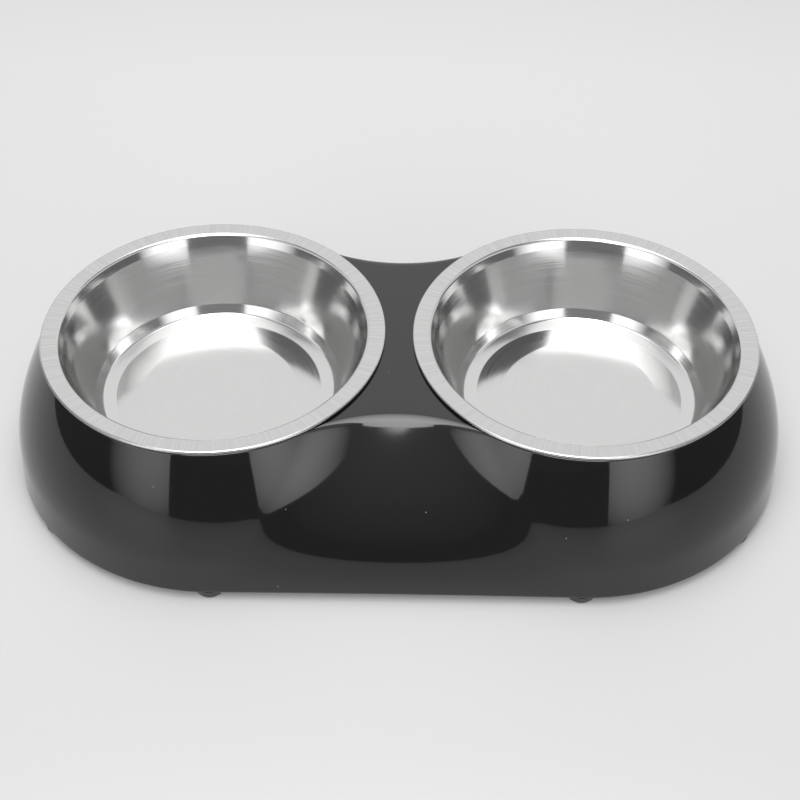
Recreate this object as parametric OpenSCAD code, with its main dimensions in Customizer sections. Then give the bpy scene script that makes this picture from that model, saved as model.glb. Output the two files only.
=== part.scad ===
/* [Bowls] */
// Distance between the two bowl centres
bowl_spacing = 151; // [146:1:156]
// Outside diameter of a bowl's rim
rim_d = 140; // [134:0.5:144]
// Width of the rim, from its outer edge to the inside of the neck
flange_w = 7.2; // [6:0.1:9]
// Height of the rim's rolled hem
hem_h = 1.6; // [1.5:0.1:2.4]
// How far the hem is folded back under the rim
hem_w = 2.6; // [2:0.1:3.2]
// Thickness of the steel sheet
steel_t = 0.65; // [0.5:0.05:0.7]
// Height of the straight neck below the rim's top face
neck_h = 5.6; // [4.5:0.1:8]
// Radius of the bend from rim to neck
rim_bend_r = 1.8; // [1.2:0.1:2.4]
// Radius of the crease between neck and wall
neck_bend_r = 2; // [1:0.1:4]
// Lean of the bowl's wall from upright, in degrees
wall_lean = 23.5; // [18:0.5:28]
// Depth of the bowl, from the rim's top face to the ring in its floor
bowl_depth = 34.4; // [30:0.1:38]
// Radius where the wall turns into the floor
floor_bend_r = 5.7; // [3:0.1:7]
// Width of the tilted band round the floor
band_w = 7.7; // [6:0.1:10]
// Tilt of the band round the floor, in degrees
band_tilt = 8; // [4:0.5:12]
// Radius of the ring at the lowest part of the floor
ring_bend_r = 3; // [2:0.1:6]
// Width of the rise from the ring to the raised disc
rise_w = 11; // [8:0.5:14]
// Height of the raised disc above the ring
disc_rise = 0.9; // [0.5:0.1:1.4]
// Radius of the raised disc's edge
disc_bend_r = 10; // [4:0.5:20]

/* [Stand] */
// Length of the stand at its bottom edge
stand_len = 322.5; // [319:0.5:334]
// Depth of the stand at its bottom edge
stand_depth = 173.4; // [167:0.2:179]
// Height of the moulded stand, without the feet
stand_h = 60.8; // [56:0.2:75]
// Wall thickness of the moulding
stand_wall = 3.2; // [2.8:0.1:3.6]
// Width of the flat top at the waist
waist_w = 89.4; // [80:0.2:96]
// Radius of the top edge at the waist
waist_edge_r = 5.2; // [3:0.1:7]
// Radius of the top edge round the bowls
land_edge_r = 1.5; // [1:0.1:2]
// How far the flat round each bowl stays inside the rim's edge
land_inset = 1.6; // [1.5:0.1:2]
// Radius of the bottom edge
bottom_edge_r = 1.3; // [0.6:0.1:1.6]
// Depth at which the rounded shoulder meets the wall
shoulder_h = 46; // [40:0.5:52]
// Lean of the shoulder just below the rim, in degrees
shoulder_lean = 28; // [22:0.5:33]
// Draft of the wall below the shoulder, in degrees
wall_draft = 3.1; // [2:0.1:6]
// Lean of the waist just below its top edge, in degrees
waist_lean = 44; // [40:0.5:48]
// Depth at which the curve of the waist meets its straight wall
waist_h = 55.4; // [50:0.2:56]
// Lean of that straight wall, in degrees
waist_low_lean = 5; // [4:0.5:12]
// How far the waist stays in from the ends at the bottom edge
waist_low_inset = 0.4; // [0.3:0.1:3]

/* [Feet] */
// Diameter of a foot where it meets the stand
foot_d = 13; // [10:0.2:14]
// Height of a foot below the stand
foot_h = 4.4; // [4:0.1:6]
// How far a foot tapers in, on each side
foot_taper = 0.6; // [0.2:0.1:1.2]
// Radius of a foot's lower edge
foot_edge_r = 3.6; // [2:0.1:3.8]
// Distance between the two feet on a long side
foot_spacing = 147.5; // [140:0.5:156]
// Distance from the stand's bottom edge in to the middle of a foot
foot_inset = 6.9; // [6:0.05:9]
// Angle of the end feet round the end of the stand, in degrees
foot_angle = 37; // [25:0.5:50]
// Diameter of a foot's stem
stem_d = 4; // [3:0.1:4.2]
// Length of a foot's stem
stem_h = 6; // [4:0.1:8]
// Diameter of the moulded boss that holds a stem
boss_d = 12; // [10:0.2:14]
// Material above the stem's hole in its boss
boss_cap = 2.4; // [1.5:0.1:4]
// How far a boss stays inside the stand's bottom edge
boss_skin = 1.4; // [1.2:0.1:2]
// Height of a boss's lower face above the stand's bottom edge
boss_recess = 0.4; // [0.2:0.1:0.8]

/* [Fits] */
// Air between a bowl's hem and the top of the stand
seat_gap = 0.2; // [0.1:0.05:0.3]
// Play between a bowl's neck and its opening, all round
seat_play = 0.65; // [0.3:0.05:0.9]
// Play between a foot's stem and its hole, all round
stem_play = 0.1; // [0.05:0.01:0.2]

/* [Hidden] */

// Heights above the surface that the feet stand on
stand_bottom_z = foot_h;
stand_top_z = foot_h + stand_h;
rim_top_z = stand_top_z + seat_gap + hem_h;

// Bowl sizes that follow from the ones above
rim_r = rim_d / 2;
neck_r = rim_r - flange_w;
band_drop = band_w * tan(band_tilt);
wall_foot_depth = bowl_depth - band_drop;
wall_foot_r = neck_r - (wall_foot_depth - neck_h) * tan(wall_lean);
ring_r = wall_foot_r - band_w;
disc_r = ring_r - rise_w;
disc_depth = bowl_depth - disc_rise;

// Opening in the stand, and the flat land round it
opening_r = neck_r + steel_t + seat_play;
land_r = rim_r - land_inset;

// Plan of the stand: an end is an arc of lobe radius about a lobe centre
lobe_bottom_r = stand_depth / 2;
lobe_top_x = bowl_spacing / 2;
lobe_bottom_x = stand_len / 2 - lobe_bottom_r;
lobe_shoulder_r = lobe_bottom_r - (stand_h - shoulder_h) * tan(wall_draft);
waist_bottom_w = lobe_bottom_r - waist_low_inset;
waist_curve_w = waist_bottom_w - (stand_h - waist_h) * tan(waist_low_lean);

// Feet and their bosses
foot_r = foot_d / 2;
stem_hole_r = stem_d / 2 + stem_play;
stem_hole_h = stem_h + stem_play;
boss_h = stem_hole_h + boss_cap;
stem_tip = stem_d / 8;
foot_circle_r = lobe_bottom_r - foot_inset;
boss_circle_r = lobe_bottom_r - boss_skin - boss_d / 2;

// How far cuts run past the faces that they open
overrun = stand_wall / 2;

// Smoothness of outlines, bends and round pieces
lobe_steps = 12;
waist_steps = 5;
bend_steps = 8;
edge_steps = 3;
shoulder_steps = 7;
wall_steps = 3;
$fn = 96;

// Curve from a to b over k = 0 to 1, with start slope ma and end slope mb
function blend(k, a, b, ma, mb) =
    a * (1 + 2 * k) * (1 - k) ^ 2 + ma * k * (1 - k) ^ 2
    + b * k ^ 2 * (3 - 2 * k) + mb * k ^ 2 * (k - 1);

// Slope of that curve at k
function blend_slope(k, a, b, ma, mb) =
    6 * k * (k - 1) * (a - b) + ma * (1 - 4 * k + 3 * k ^ 2) + mb * (3 * k ^ 2 - 2 * k);

// Depth and reach of a rounded top edge that ends at a given lean
function edge_depth(edge_r, lean) = edge_r * (1 - sin(lean));
function edge_reach(edge_r, lean) = edge_r * cos(lean);

// Half-width of a side at depth d: a rounded edge, a curved shoulder, then a straight wall.
// side = [flat half-width, edge radius, top lean, shoulder depth, half-width there, lean there]
function side_at(d, side) =
    let (edge_d = edge_depth(side[1], side[2]),
         edge_w = side[0] + edge_reach(side[1], side[2]),
         span = side[3] - edge_d,
         drop = tan(side[5]))
    d < edge_d ? side[0] + sqrt(side[1] ^ 2 - (side[1] - d) ^ 2)
    : d < side[3] ? blend((d - edge_d) / span, edge_w, side[4], tan(side[2]) * span, drop * span)
    : side[4] + (d - side[3]) * drop;

// How fast that half-width grows with depth, below the rounded edge
function side_slope(d, side) =
    let (edge_d = edge_depth(side[1], side[2]),
         edge_w = side[0] + edge_reach(side[1], side[2]),
         span = side[3] - edge_d,
         drop = tan(side[5]))
    d < side[3]
        ? blend_slope((d - edge_d) / span, edge_w, side[4], tan(side[2]) * span, drop * span) / span
        : drop;

lobe_side = [land_r, land_edge_r, shoulder_lean, shoulder_h, lobe_shoulder_r, wall_draft];
waist_side = [waist_w / 2, waist_edge_r, waist_lean, waist_h, waist_curve_w, waist_low_lean];

// Centre of the lobe's arc, which shifts from its top place to its bottom place along the shoulder
function lobe_x(d) =
    let (share = (side_at(d, lobe_side) - land_r) / (lobe_shoulder_r - land_r))
    lobe_top_x + (lobe_bottom_x - lobe_top_x) * min(1, share);

// How far the rounded bottom edge draws the outline in
function bottom_inset(d) =
    let (low = d - (stand_h - bottom_edge_r))
    low <= 0 ? 0 : bottom_edge_r - sqrt(max(0, bottom_edge_r ^ 2 - low ^ 2));

// Outline at one depth: two lobes of radius r about (x, 0) and (-x, 0), joined on each long
// side by an arc that touches both and leaves the waist w wide on each side
function outline(x, r, w) =
    let (arc_r = (x ^ 2 + w ^ 2 - r ^ 2) / (2 * (r - w)),
         arc_y = w + arc_r,
         turn = atan2(arc_y, -x),
         lobe = [for (i = [0:lobe_steps]) let (a = turn * i / lobe_steps) [x + r * cos(a), r * sin(a)]],
         from = atan2(-arc_y, x),
         waist = [for (i = [1:waist_steps])
             let (a = from + (-90 - from) * i / waist_steps) [arc_r * cos(a), arc_y + arc_r * sin(a)]],
         quarter = concat(lobe, waist),
         n = len(quarter),
         half = concat(quarter, [for (i = [n - 2:-1:0]) [-quarter[i][0], quarter[i][1]]]))
    concat(half, [for (i = [len(half) - 2:-1:1]) [half[i][0], -half[i][1]]]);

// Outline of the outer face at depth d, and of the inner face, one wall further in
function outer_ring(d) =
    let (inset = bottom_inset(d),
         lobe = side_at(d, lobe_side) - inset,
         waist = side_at(d, waist_side) - inset)
    [for (p = outline(lobe_x(d), lobe, waist)) [p[0], p[1], stand_top_z - d]];

function inner_ring(d) =
    let (lobe = side_at(d, lobe_side) - stand_wall * sqrt(1 + side_slope(d, lobe_side) ^ 2),
         waist = side_at(d, waist_side) - stand_wall * sqrt(1 + side_slope(d, waist_side) ^ 2))
    [for (p = outline(lobe_x(d), lobe, min(waist, lobe - waist_low_inset))) [p[0], p[1], stand_top_z - d]];

// Depths of the rings: close together round the edges, then even down the shoulder and wall
function edge_depths(edge_r, lean) =
    [for (i = [1:edge_steps]) edge_r * (1 - cos((90 - lean) * i / edge_steps))];
function even_depths(from, to, steps) = [for (i = [1:steps]) from + (to - from) * i / steps];

waist_edge_d = edge_depth(waist_edge_r, waist_lean);
land_edge_d = edge_depth(land_edge_r, shoulder_lean);
outer_depths = concat([0], edge_depths(land_edge_r, shoulder_lean),
    [for (d = edge_depths(waist_edge_r, waist_lean)) if (d > land_edge_d) d],
    even_depths(waist_edge_d, shoulder_h, shoulder_steps),
    even_depths(shoulder_h, stand_h - bottom_edge_r, wall_steps),
    [for (i = [1:edge_steps]) stand_h - bottom_edge_r + bottom_edge_r * sin(90 * i / edge_steps)]);
inner_depths = concat([stand_wall], even_depths(stand_wall, shoulder_h, shoulder_steps),
    even_depths(shoulder_h, stand_h, wall_steps));

// Triangles from one point to each side of a loop of points
function fan(hub, loop) =
    [for (i = [0:len(loop) - 1]) [hub, loop[i], loop[(i + 1) % len(loop)]]];

// Solid through a chain of rings. The flat face across the first ring, and the one across the
// last, is two fans, one about the middle of each opening.
module loft(rings) {
    n = len(rings[0]);
    last = len(rings) - 1;
    hubs = [for (ring = [rings[0], rings[last]], sx = [-1, 1]) [sx * bowl_spacing / 2, 0, ring[0][2]]];
    points = concat([for (ring = rings) each ring], hubs);
    first_hub = n * (last + 1);
    walls = [for (k = [0:last - 1], i = [0:n - 1])
        let (j = (i + 1) % n, a = k * n + i, b = k * n + j, c = a + n, d = b + n)
        each [[a, b, d], [a, d, c]]];
    left_half = [for (i = [n / 4:n * 3 / 4]) i];
    right_half = [for (i = [n * 3 / 4:n * 5 / 4]) i % n];
    top = [for (f = concat(fan(first_hub, left_half), fan(first_hub + 1, right_half)))
        [f[0], f[2], f[1]]];
    ceiling = [for (f = concat(fan(first_hub + 2, left_half), fan(first_hub + 3, right_half)))
        [f[0], f[1] + n * last, f[2] + n * last]];
    polyhedron(points = points, faces = concat(top, walls, ceiling));
}

// Points of a fillet at corner b between a and c, with c's radius in b[2]
function fillet(a, b, c) =
    let (u = [a[0] - b[0], a[1] - b[1]],
         v = [c[0] - b[0], c[1] - b[1]],
         un = u / norm(u),
         vn = v / norm(v),
         half = acos(un * vn) / 2,
         mid = (un + vn) / norm(un + vn),
         centre = [b[0], b[1]] + mid * b[2] / sin(half),
         start = [b[0], b[1]] + un * b[2] / tan(half) - centre,
         side = un[0] * vn[1] - un[1] * vn[0] > 0 ? -1 : 1,
         turn = side * (180 - 2 * half))
    [for (i = [0:bend_steps]) let (t = turn * i / bend_steps)
        centre + [start[0] * cos(t) - start[1] * sin(t), start[0] * sin(t) + start[1] * cos(t)]];

// Path through corners [x, y, radius], with a fillet at each but the first and last
function path(corners) =
    let (n = len(corners))
    concat([[corners[0][0], corners[0][1]]],
        [for (i = [1:n - 2]) each corners[i][2] > 0 ? fillet(corners[i - 1], corners[i], corners[i + 1])
            : [[corners[i][0], corners[i][1]]]],
        [[corners[n - 1][0], corners[n - 1][1]]]);

// Direction of one leg of a path, and the normal on its right
function leg(a, b) = let (v = [b[0] - a[0], b[1] - a[1]]) v / norm(v);
function right(v) = [v[1], -v[0]];

// The same corners moved t to the right, with each radius made smaller or larger to suit
function moved(corners, t) =
    let (n = len(corners))
    [for (i = [0:n - 1])
        let (into = leg(corners[max(0, i - 1)], corners[max(1, i)]),
             out = leg(corners[min(n - 2, i)], corners[min(n - 1, i + 1)]),
             sum = right(into) + right(out),
             shift = sum * t / (1 + right(into) * right(out)),
             turn = into[0] * out[1] - into[1] * out[0],
             r = corners[i][2] == 0 ? 0 : corners[i][2] + (turn > 0 ? t : -t))
        [corners[i][0] + shift[0], corners[i][1] + shift[1], r]];

// Upper face of the bowl's sheet, from the middle of its floor out to the end of the hem
bowl_corners = [
    [0, -disc_depth, 0],
    [disc_r, -disc_depth, disc_bend_r],
    [ring_r, -bowl_depth, ring_bend_r],
    [wall_foot_r, -wall_foot_depth, floor_bend_r],
    [neck_r, -neck_h, neck_bend_r],
    [neck_r, 0, rim_bend_r],
    [rim_r, 0, hem_h / 2],
    [rim_r, -hem_h, hem_h / 2],
    [rim_r - hem_w, -hem_h, 0]
];

// One bowl, drawn from a single sheet: hemmed rim, straight neck, leaning wall, stepped floor
module bowl() {
    under = path(moved(bowl_corners, steel_t));
    section = concat(path(bowl_corners), [for (i = [len(under) - 1:-1:0]) under[i]]);
    translate([0, 0, rim_top_z])
        rotate_extrude()
            polygon(section);
}

// Places of the feet, as [x, y], for the side signs sx and sy, on a circle of radius r
function long_side_foot(sx, sy, r = foot_circle_r) = [sx * foot_spacing / 2, sy * r];
function end_foot(sx, sy, r = foot_circle_r) =
    [sx * (lobe_bottom_x + r * cos(foot_angle)), sy * r * sin(foot_angle)];

feet = [for (sx = [-1, 1], sy = [-1, 1]) each [long_side_foot(sx, sy), end_foot(sx, sy)]];
bosses = [for (sx = [-1, 1], sy = [-1, 1])
    each [long_side_foot(sx, sy, boss_circle_r), end_foot(sx, sy, boss_circle_r)]];

// One rubber foot: a tapered button with a rounded lower edge, and a stem that plugs into a boss
module foot(place) {
    button = path([[0, 0, 0], [foot_r - foot_taper, 0, foot_edge_r], [foot_r, foot_h, 0],
                   [stem_d / 2, foot_h, 0]]);
    stem = [[stem_d / 2, foot_h + stem_h - stem_tip], [stem_d / 2 - stem_tip, foot_h + stem_h],
            [0, foot_h + stem_h]];
    color("#2a2a2c")
        translate([place[0], place[1], 0])
            rotate_extrude()
                polygon(concat(button, stem));
}

// Moulded stand: one open-bottomed shell with two round openings in its flat top. The chain of
// rings runs down the outside from the top face, round the bottom edge and up the inside.
module stand_shell() {
    outside = [for (d = outer_depths) outer_ring(d)];
    inside = [for (i = [len(inner_depths) - 1:-1:0]) inner_ring(inner_depths[i])];
    color("#1c1c1e")
        difference() {
            union() {
                loft(concat(outside, inside));
                for (place = bosses)
                    translate([place[0], place[1], stand_bottom_z + boss_recess])
                        cylinder(h = boss_h - boss_recess, d = boss_d);
            }
            for (sx = [-1, 1])
                translate([sx * bowl_spacing / 2, 0, stand_top_z - stand_wall - overrun])
                    cylinder(h = stand_wall + 2 * overrun, r = opening_r);
            for (place = feet)
                translate([place[0], place[1], stand_bottom_z - overrun])
                    cylinder(h = stem_hole_h + overrun, r = stem_hole_r);
        }
}

module left_bowl() {
    color("silver")
        translate([-bowl_spacing / 2, 0, 0])
            bowl();
}

module right_bowl() {
    color("silver")
        translate([bowl_spacing / 2, 0, 0])
            bowl();
}

module front_left_foot() { foot(long_side_foot(-1, -1)); }
module front_right_foot() { foot(long_side_foot(1, -1)); }
module rear_left_foot() { foot(long_side_foot(-1, 1)); }
module rear_right_foot() { foot(long_side_foot(1, 1)); }
module left_end_front_foot() { foot(end_foot(-1, -1)); }
module left_end_rear_foot() { foot(end_foot(-1, 1)); }
module right_end_front_foot() { foot(end_foot(1, -1)); }
module right_end_rear_foot() { foot(end_foot(1, 1)); }

stand_shell();
left_bowl();
right_bowl();
front_left_foot();
front_right_foot();
rear_left_foot();
rear_right_foot();
left_end_front_foot();
left_end_rear_foot();
right_end_front_foot();
right_end_rear_foot();
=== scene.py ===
"""Double pet bowl: a glossy black moulded stand, two lift-out steel bowls and eight rubber feet.

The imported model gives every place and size. Each sub-assembly is a class that holds its own sizes,
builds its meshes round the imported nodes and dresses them. Lengths are in metres, angles in degrees.
"""

import logging
import math
from abc import ABC, abstractmethod
from collections import Counter
from contextlib import contextmanager
from dataclasses import dataclass, field
from enum import Enum
from typing import Callable, Iterable, Iterator

import bpy
from mathutils import Matrix, Vector

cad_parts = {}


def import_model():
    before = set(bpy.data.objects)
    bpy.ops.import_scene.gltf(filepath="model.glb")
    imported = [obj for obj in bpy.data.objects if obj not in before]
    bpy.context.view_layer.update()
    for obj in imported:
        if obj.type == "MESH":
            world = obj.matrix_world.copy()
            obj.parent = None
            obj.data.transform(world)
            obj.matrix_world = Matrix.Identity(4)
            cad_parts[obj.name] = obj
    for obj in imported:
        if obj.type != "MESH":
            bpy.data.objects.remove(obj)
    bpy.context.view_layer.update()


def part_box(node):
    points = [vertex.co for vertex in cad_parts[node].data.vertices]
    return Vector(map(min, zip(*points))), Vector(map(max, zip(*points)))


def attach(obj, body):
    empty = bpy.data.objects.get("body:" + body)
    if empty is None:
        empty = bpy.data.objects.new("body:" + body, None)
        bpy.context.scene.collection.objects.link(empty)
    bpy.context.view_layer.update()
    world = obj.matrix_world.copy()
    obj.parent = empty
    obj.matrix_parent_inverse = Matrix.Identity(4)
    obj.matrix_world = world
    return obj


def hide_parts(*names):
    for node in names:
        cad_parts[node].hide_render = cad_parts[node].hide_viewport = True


log = logging.getLogger("double pet bowl")

Pair = tuple[float, float]
Triple = tuple[float, float, float]
Socket = bpy.types.NodeSocket
Value = float | Socket

MM = 0.001
MERGE_DISTANCE = 0.002 * MM
STAND_BODY = "stand"
FULL_TURN = 2 * math.pi
QUARTER_TURN = math.pi / 2
WHITE = (1, 1, 1, 1)
NOISE_SPAN = (0.3, 0.7)
ROUND_PROFILE = 0.5


class Side(Enum):
    """The two ends of the stand, each with its sign along X."""

    LEFT = -1
    RIGHT = 1


class Row(Enum):
    """The two long sides of the stand, each with its sign along Y."""

    FRONT = -1
    REAR = 1


class Element(Enum):
    """What a selection picks, by the name of its group in a mesh."""

    EDGES = "edges"
    FACES = "polygons"


class Carving(Enum):
    """How a second solid changes a piece."""

    ADD = "UNION"
    CUT = "DIFFERENCE"


class Output(Enum):
    """What a node tree belongs to, by the kind of its last node."""

    MATERIAL = "OutputMaterial"
    LAMP = "OutputLight"
    WORLD = "OutputWorld"


def deselect_everything() -> None:
    """Deselects every object, so that the next operator acts on the new one alone."""
    bpy.ops.object.select_all(action="DESELECT")


def pick(obj: bpy.types.Object) -> None:
    """Makes one object the only selected one, and the active one.

    Args:
        obj: the object to work on.
    """
    deselect_everything()
    obj.select_set(True)
    bpy.context.view_layer.objects.active = obj


def new_piece(name: str) -> bpy.types.Object:
    """Names the primitive that was added last.

    Args:
        name: the piece's name.

    Returns:
        The new object.
    """
    obj = bpy.context.view_layer.objects.active
    obj.name = name
    obj.data.name = name
    return obj


def seat_in_mesh(obj: bpy.types.Object) -> None:
    """Moves an object's place, turn and scale into its mesh, so that the object sits at the origin.

    Args:
        obj: the piece to seat.
    """
    pick(obj)
    bpy.ops.object.transform_apply(location=True, rotation=True, scale=True)


@contextmanager
def editing(obj: bpy.types.Object) -> Iterator[None]:
    """Picks a piece and holds it in edit mode while the lines inside run.

    Args:
        obj: the piece to edit.

    Yields:
        Nothing.
    """
    pick(obj)
    bpy.ops.object.mode_set(mode="EDIT")
    yield
    bpy.ops.object.mode_set(mode="OBJECT")


def select_only(mesh: bpy.types.Mesh, items: Iterable[bpy.types.bpy_struct]) -> None:
    """Selects some edges or faces with their vertices, and nothing else. Works in object mode.

    Args:
        mesh: the piece's mesh.
        items: its edges or faces to select.
    """
    for group in (mesh.vertices, mesh.edges, mesh.polygons):
        group.foreach_set("select", [False] * len(group))
    for item in items:
        item.select = True
        for i in item.vertices:
            mesh.vertices[i].select = True


def select_where(obj: bpy.types.Object, test: Callable[[Vector], bool],
                 element: Element = Element.EDGES) -> None:
    """Selects the edges or faces whose every vertex passes a test. Works in object mode.

    Args:
        obj: the piece.
        test: says of a vertex's place whether it counts.
        element: whether edges or faces are selected.
    """
    good = [test(vertex.co) for vertex in obj.data.vertices]
    select_only(obj.data, [item for item in getattr(obj.data, element.value)
                           if all(good[i] for i in item.vertices)])


def close_and_point_outwards(obj: bpy.types.Object) -> None:
    """Merges doubled vertices and points every face outwards.

    Args:
        obj: the piece to clean.
    """
    with editing(obj):
        bpy.ops.mesh.select_all(action="SELECT")
        bpy.ops.mesh.remove_doubles(threshold=MERGE_DISTANCE)
        bpy.ops.mesh.normals_make_consistent(inside=False)


def shade_smooth(obj: bpy.types.Object, sharp_angle: float) -> None:
    """Shades a piece smooth, apart from its sharp edges.

    Args:
        obj: the piece.
        sharp_angle: edges that turn more than this stay sharp, in degrees.
    """
    pick(obj)
    bpy.ops.object.shade_smooth_by_angle(angle=math.radians(sharp_angle))


def apply_modifier(obj: bpy.types.Object, name: str, kind: str, **settings: object) -> None:
    """Adds a modifier to a piece, sets it and applies it.

    Args:
        obj: the piece.
        name: the modifier's name.
        kind: its type.
        settings: its own properties.
    """
    pick(obj)
    modifier = obj.modifiers.new(name, kind)
    for key, value in settings.items():
        setattr(modifier, key, value)
    bpy.ops.object.modifier_apply(modifier=modifier.name)


def combine(obj: bpy.types.Object, tool: bpy.types.Object, carving: Carving) -> None:
    """Adds one solid to another, or cuts it out, and removes the tool.

    Args:
        obj: the piece that is kept.
        tool: the solid that is added or cut out.
        carving: which of the two.
    """
    apply_modifier(obj, carving.name.title(), "BOOLEAN", operation=carving.value, solver="EXACT",
                   object=tool)
    bpy.data.objects.remove(tool)


def extrude_upwards(height: float) -> None:
    """Extrudes the selection along Z. Works in edit mode."""
    bpy.ops.mesh.extrude_region_move(TRANSFORM_OT_translate={"value": (0, 0, height)})


def resize_level(share: float, centre: Triple) -> None:
    """Scales the selection along X and Y about a point. Works in edit mode."""
    bpy.ops.transform.resize(value=(share, share, 1), center_override=centre)


def extrude_round(path: list[Pair], centre_x: float) -> None:
    """Extrudes the selected circle from point to point of a path. Works in edit mode.

    Args:
        path: radius and height of each ring; the circle stands at the first.
        centre_x: place of the rings' axis along X.
    """
    for (radius, height), (next_radius, next_height) in zip(path, path[1:]):
        extrude_upwards(next_height - height)
        resize_level(next_radius / radius, (centre_x, 0, next_height))


def round_over(radius: float, turn: float, steps: int) -> None:
    """Rounds the selected edges with a true arc. Works in edit mode.

    Args:
        radius: radius of the arc.
        turn: how far the surface turns at the edges, in radians.
        steps: how many facets the arc has.
    """
    bpy.ops.mesh.bevel(offset=radius * math.tan(turn / 2), offset_type="OFFSET", affect="EDGES",
                       segments=steps, profile=ROUND_PROFILE, clamp_overlap=False)


def drawn_in(ring: list[Vector], margin: float) -> list[Vector]:
    """A ring drawn in by a margin within its own flat face.

    Args:
        ring: the ring at the flat's edge, anticlockwise.
        margin: how far the new ring lies inside it.

    Returns:
        The new ring's points.
    """
    points = []
    for i, point in enumerate(ring):
        along = (ring[(i + 1) % len(ring)] - ring[i - 1]).normalized()
        points.append(point + Vector((-along.y, along.x, 0)) * margin)
    return points


def add_plane(name: str, place: Triple, size: Pair, turn: Triple = (0, 0, 0)) -> bpy.types.Object:
    """Adds a flat rectangle.

    Args:
        name: its name.
        place: its middle.
        size: its width and its depth or height.
        turn: its turn about X, Y and Z, in radians.

    Returns:
        The rectangle, with its place in its mesh.
    """
    deselect_everything()
    bpy.ops.mesh.primitive_plane_add(size=1, location=place, rotation=turn)
    plane = new_piece(name)
    plane.scale = (*size, 1)
    seat_in_mesh(plane)
    return plane


def blend(k: float, a: float, b: float, slope_a: float, slope_b: float) -> float:
    """Cubic curve from a to b over k = 0 to 1 with the given end slopes."""
    start = a * (1 + 2 * k) * (1 - k) ** 2 + slope_a * k * (1 - k) ** 2
    return start + b * k**2 * (3 - 2 * k) + slope_b * k**2 * (k - 1)


def blend_slope(k: float, a: float, b: float, slope_a: float, slope_b: float) -> float:
    """Slope of that curve at k."""
    start = 6 * k * (k - 1) * (a - b) + slope_a * (1 - 4 * k + 3 * k**2)
    return start + slope_b * (3 * k**2 - 2 * k)


class Bench:
    """The node tree of a material, lamp or world, with short ways to add and join its nodes."""

    def __init__(self, owner: bpy.types.ID) -> None:
        """Empties the owner's tree.

        Args:
            owner: the material, lamp or world.
        """
        self.owner = owner
        self.owner.use_nodes = True
        self.tree = self.owner.node_tree
        self.tree.nodes.clear()

    @classmethod
    def for_material(cls, name: str) -> "Bench":
        """Makes a new material and gives its empty tree."""
        return cls(bpy.data.materials.new(name))

    def add(self, kind: str, sockets: dict[str | int, object] | None = None,
            **settings: object) -> bpy.types.Node:
        """Adds a node.

        Args:
            kind: the node's type, without "ShaderNode".
            sockets: values or linked sockets for its inputs, by name or number.
            settings: its own properties.

        Returns:
            The node.
        """
        node = self.tree.nodes.new("ShaderNode" + kind)
        for key, value in settings.items():
            setattr(node, key, value)
        for key, value in (sockets or {}).items():
            if isinstance(value, Socket):
                self.tree.links.new(value, node.inputs[key])
            else:
                node.inputs[key].default_value = value
        return node

    def place(self) -> Socket:
        """Object coordinates: where a point lies on its piece."""
        return self.add("TexCoord").outputs["Object"]

    def parts(self, vector: Socket) -> tuple[Socket, ...]:
        """The X, Y and Z parts of a vector."""
        return tuple(self.add("SeparateXYZ", {0: vector}).outputs)

    def math(self, operation: str, *values: Value) -> Socket:
        """Adds a Math node and gives its result.

        Args:
            operation: its operation.
            values: numbers or sockets for its inputs.

        Returns:
            Its result.
        """
        return self.add("Math", dict(enumerate(values)), operation=operation).outputs[0]

    def scaled(self, value: Socket, source: Pair, target: Pair) -> Socket:
        """Maps a value from one range to another, held at its ends.

        Args:
            value: the socket to map.
            source: the two ends that it comes from.
            target: the two ends that it goes to.

        Returns:
            The mapped value.
        """
        return self.add("MapRange", dict(enumerate((value, *source, *target)))).outputs[0]

    def mixed(self, share: Socket, first: Value, second: Value) -> Socket:
        """Mixes two numbers.

        Args:
            share: 0 for the first alone, 1 for the second alone.
            first: a number or socket.
            second: a number or socket.

        Returns:
            The mixed value.
        """
        return self.add("Mix", {0: share, 2: first, 3: second}).outputs[0]

    def noise(self, vector: Socket, scale: float, detail: float) -> Socket:
        """Adds a noise.

        Args:
            vector: where it is read.
            scale: cycles per unit of that vector.
            detail: how many finer layers it has.

        Returns:
            Its value, about 0.5 on average and mostly within NOISE_SPAN.
        """
        return self.add("TexNoise", {"Vector": vector, "Scale": scale, "Detail": detail}).outputs[0]

    def bump(self, height: Socket, distance: float,
             under: Socket | None = None) -> Socket:
        """Adds a bump.

        Args:
            height: the height, 0 to 1.
            distance: how much height 1 is, in metres.
            under: a bump that this one lies on.

        Returns:
            The new normal.
        """
        sockets = {"Height": height, "Distance": distance, "Strength": 1.0}
        if under is not None:
            sockets["Normal"] = under
        return self.add("Bump", sockets).outputs[0]

    def glow(self, strength: Value) -> bpy.types.Node:
        """Adds a white light of a strength, at which 1 shows as white."""
        return self.add("Emission", {"Color": WHITE, "Strength": strength})

    def shown(self) -> Socket:
        """Tells the rays that show a background from those that light the object.

        Returns:
            1 for a ray to the camera, in a reflection or through glass, else 0.
        """
        rays = self.add("LightPath").outputs
        seen = self.math("MAXIMUM", rays["Is Camera Ray"], rays["Is Glossy Ray"])
        return self.math("MAXIMUM", seen, rays["Is Transmission Ray"])

    def finish(self, shader: bpy.types.Node, output: Output = Output.MATERIAL) -> bpy.types.ID:
        """Joins the last shader to the output.

        Args:
            shader: that shader.
            output: what the tree belongs to.

        Returns:
            The finished material, lamp or world.
        """
        self.add(output.value, {0: shader.outputs[0]})
        return self.owner


class Finish(ABC):
    """A finish of the object.

    Attributes:
        slot: the record's slot that it goes with.
    """

    slot: str

    @abstractmethod
    def make(self) -> bpy.types.Material:
        """Makes the material."""


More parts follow.
